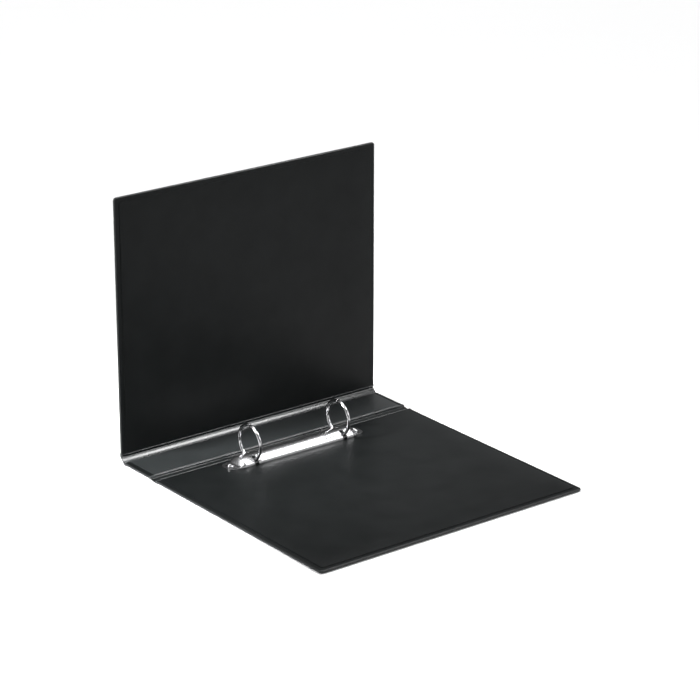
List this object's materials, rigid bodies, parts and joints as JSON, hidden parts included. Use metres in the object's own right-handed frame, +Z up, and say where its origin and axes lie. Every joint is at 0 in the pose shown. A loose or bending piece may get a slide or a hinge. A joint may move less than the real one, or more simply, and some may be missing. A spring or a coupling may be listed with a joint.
{
  "type": "ring binder",
  "caption": "Foil-covered ring binder for small sheets: stiff covers and spine on welded creases, arched ring mechanism, label pocket on the spine.",
  "frame": {"origin": "centre of the bounding box, at the height of the surface the open binder lies on", "axes": "+X from the standing front cover to the fore edge of the flat back cover, +Y from the foot of the binder to its head along the creases, +Z up"},
  "size_m": [0.2418, 0.232, 0.2017],
  "materials": {
    "cover_foil": "fine-grained black polypropylene foil, satin",
    "lining_foil": "fine-grained black polypropylene foil, satin",
    "board": "grey board",
    "ring_metal": "nickel-plated steel, bright",
    "clear_film": "clear film",
    "label_paper": "white card with red bands"
  },
  "bodies": {
    "back_cover": {"back_cover_outer_foil": "cover_foil", "back_cover_board": "board", "back_cover_inner_lining": "lining_foil", "ring_plate": "ring_metal", "rivet_1": "ring_metal", "rivet_2": "ring_metal"},
    "right_ring_side": {"right_carrier": "ring_metal", "right_half_ring_1": "ring_metal", "right_half_ring_2": "ring_metal"},
    "left_ring_side": {"left_carrier": "ring_metal", "left_half_ring_1": "ring_metal", "left_half_ring_2": "ring_metal"},
    "back_hinge_strip": {"back_hinge_strip": "cover_foil"},
    "spine": {"spine_outer_foil": "cover_foil", "spine_board": "board", "spine_inner_lining": "lining_foil", "label_pocket": "clear_film", "label_card": "label_paper"},
    "front_hinge_strip": {"front_hinge_strip": "cover_foil"},
    "front_cover": {"front_cover_outer_foil": "cover_foil", "front_cover_board": "board", "front_cover_inner_lining": "lining_foil"}
  },
  "joints": [
    {"name": "back_cover_crease", "type": "hinge", "parent": "back_cover", "child": "back_hinge_strip", "pos_m": [-0.07514, 0, 0.0003], "axis": [0, 1, 0], "range_deg": [0, 41.5]},
    {"name": "spine_back_crease", "type": "hinge", "parent": "back_hinge_strip", "child": "spine", "pos_m": [-0.08111, 0, 0.0008], "axis": [0, 1, 0], "range_deg": [0, 41.5]},
    {"name": "spine_front_crease", "type": "hinge", "parent": "spine", "child": "front_hinge_strip", "pos_m": [-0.11561, 0, 0.0008], "axis": [0, 1, 0], "range_deg": [-45, 3.5]},
    {"name": "front_cover_crease", "type": "hinge", "parent": "front_hinge_strip", "child": "front_cover", "pos_m": [-0.12056, 0, 0.00575], "axis": [0, 1, 0], "range_deg": [-45, 3.5]},
    {"name": "right_ring_opening", "type": "hinge", "parent": "back_cover", "child": "right_ring_side", "pos_m": [-0.05414, 0, 0.0043], "axis": [0, 1, 0], "range_deg": [0, 10]},
    {"name": "left_ring_opening", "type": "hinge", "parent": "back_cover", "child": "left_ring_side", "pos_m": [-0.06914, 0, 0.0043], "axis": [0, -1, 0], "range_deg": [0, 10]}
  ],
  "couplings": [
    {"joint": "left_ring_opening", "follows": "right_ring_opening", "ratio": 1}
  ]
}
